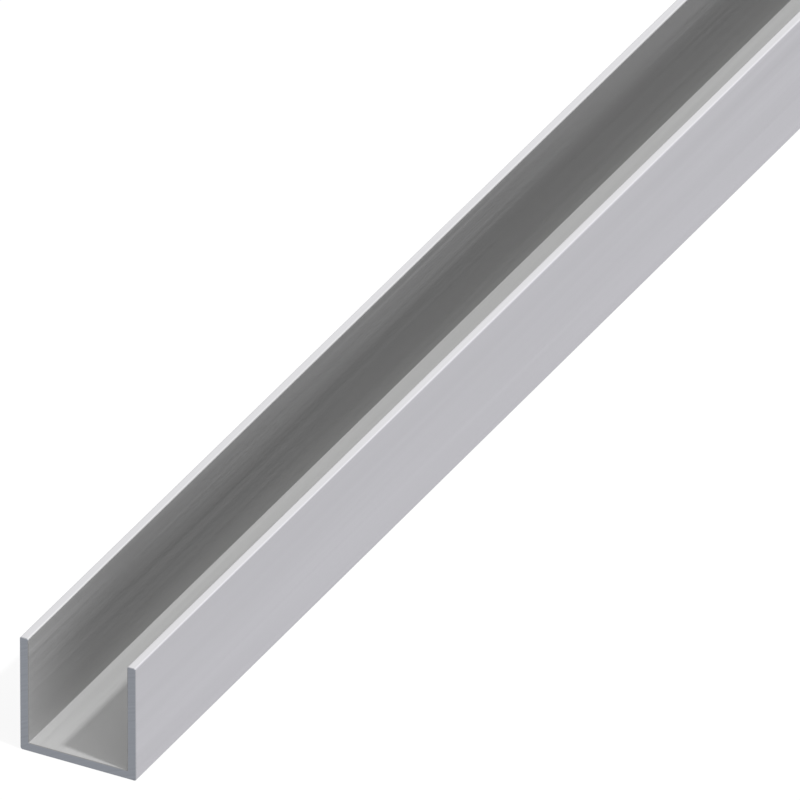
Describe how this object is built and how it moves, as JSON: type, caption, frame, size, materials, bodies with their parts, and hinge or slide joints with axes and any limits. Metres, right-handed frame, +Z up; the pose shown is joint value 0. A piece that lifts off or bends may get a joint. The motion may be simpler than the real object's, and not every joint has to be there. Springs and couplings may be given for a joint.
{
  "type": "aluminium u-channel",
  "caption": "Straight aluminium U-channel stock, equal web and flanges with lightly rounded edges and square sawn ends, for edging, framing or guiding a panel.",
  "frame": {"origin": "middle of the underside of the web, halfway along the length", "axes": "+X across the section, +Y along the length, +Z up out of the open side of the slot"},
  "size_m": [0.02, 1, 0.02],
  "materials": {
    "aluminium": "satin"
  },
  "bodies": {
    "root": {"u_channel": "aluminium"}
  },
  "joints": []
}
